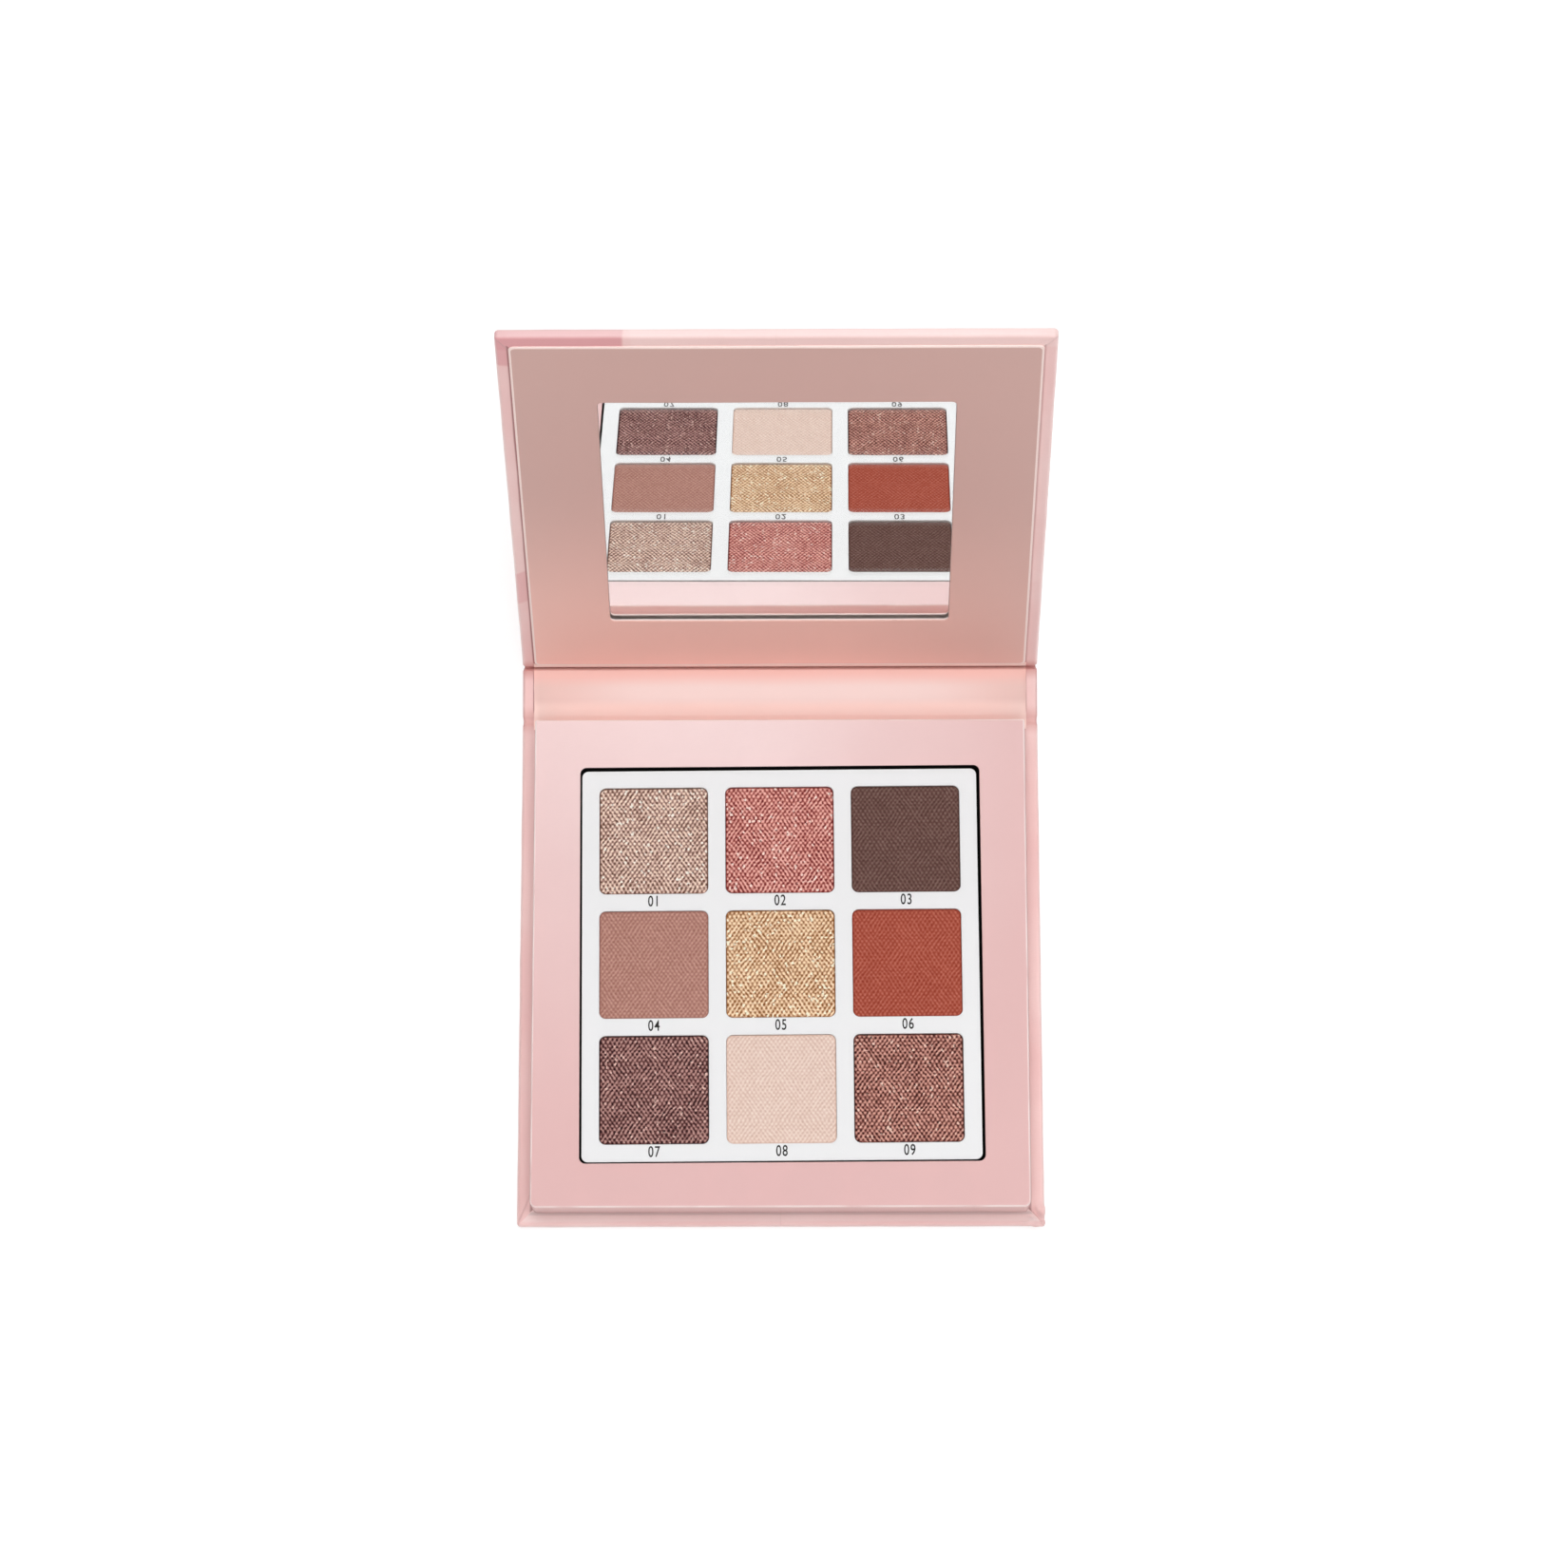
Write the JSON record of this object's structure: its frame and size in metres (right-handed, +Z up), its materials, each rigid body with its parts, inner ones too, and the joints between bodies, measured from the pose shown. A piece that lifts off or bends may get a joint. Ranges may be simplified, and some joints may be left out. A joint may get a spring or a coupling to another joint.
{
  "type": "eyeshadow palette",
  "caption": "Book-style cardboard eyeshadow palette with square powder pans under a windowed deck card, and a mirror in its hinged lid.",
  "frame": {"origin": "centre of the underside of the base cover", "axes": "+X to the right as the palette is used, +Y from the front edge towards the hinge, +Z up"},
  "size_m": [0.1, 0.1474, 0.0948],
  "materials": {
    "greyboard": "matte",
    "printed_wrap": "satin",
    "platform_paper": "satin",
    "liner_paper": "satin",
    "liner_card": "satin",
    "glue": "satin",
    "black_paper": "matte",
    "black_tray": "matte",
    "deck_card": "satin",
    "magnet": "satin",
    "tinplate": "satin",
    "mirror_glass": "gloss",
    "mirror_silver": "polished",
    "taupe_shimmer": "satin",
    "rose_shimmer": "satin",
    "cocoa_matte": "matte",
    "dusty_rose_matte": "matte",
    "gold_shimmer": "satin",
    "brick_matte": "matte",
    "plum_shimmer": "satin",
    "cream_matte": "matte",
    "copper_shimmer": "satin"
  },
  "bodies": {
    "base": {"base_board": "greyboard", "base_wrap": "printed_wrap", "base_liner_flap": "liner_paper", "platform_adhesive": "glue", "platform_core": "greyboard", "platform_wrap": "platform_paper", "well_floor": "black_paper", "well_liner": "black_paper", "pan_tray": "black_tray", "deck_card": "deck_card", "pan_adhesive": "glue", "base_magnets": "magnet", "pan_1": "tinplate", "pan_2": "tinplate", "pan_3": "tinplate", "pan_4": "tinplate", "pan_5": "tinplate", "pan_6": "tinplate", "pan_7": "tinplate", "pan_8": "tinplate", "pan_9": "tinplate", "powder_1": "taupe_shimmer", "powder_2": "rose_shimmer", "powder_3": "cocoa_matte", "powder_4": "dusty_rose_matte", "powder_5": "gold_shimmer", "powder_6": "brick_matte", "powder_7": "plum_shimmer", "powder_8": "cream_matte", "powder_9": "copper_shimmer"},
    "spine": {"base_hinge_wrap": "printed_wrap", "base_hinge_liner": "liner_paper", "spine_board": "greyboard", "spine_wrap": "printed_wrap", "spine_liner": "liner_paper"},
    "lid": {"lid_hinge_wrap": "printed_wrap", "lid_hinge_liner": "liner_paper", "lid_board": "greyboard", "lid_frame_board": "greyboard", "lid_wrap": "printed_wrap", "lid_liner": "liner_card", "lid_liner_flap": "liner_paper", "mirror_glass": "mirror_glass", "mirror_silver": "mirror_silver", "mirror_tape": "glue", "lid_magnets": "magnet"}
  },
  "joints": [
    {"name": "spine_hinge", "type": "hinge", "parent": "base", "child": "spine", "pos_m": [0, 0.04995, 0.001], "axis": [1, 0, 0], "range_deg": [-10, 80], "deforming": ["base_hinge_wrap", "base_hinge_liner"]},
    {"name": "lid_hinge", "type": "hinge", "parent": "spine", "child": "lid", "pos_m": [0, 0.06078, 0.00291], "axis": [1, 0, 0], "range_deg": [-58, 32], "deforming": ["lid_hinge_wrap", "lid_hinge_liner"]}
  ]
}
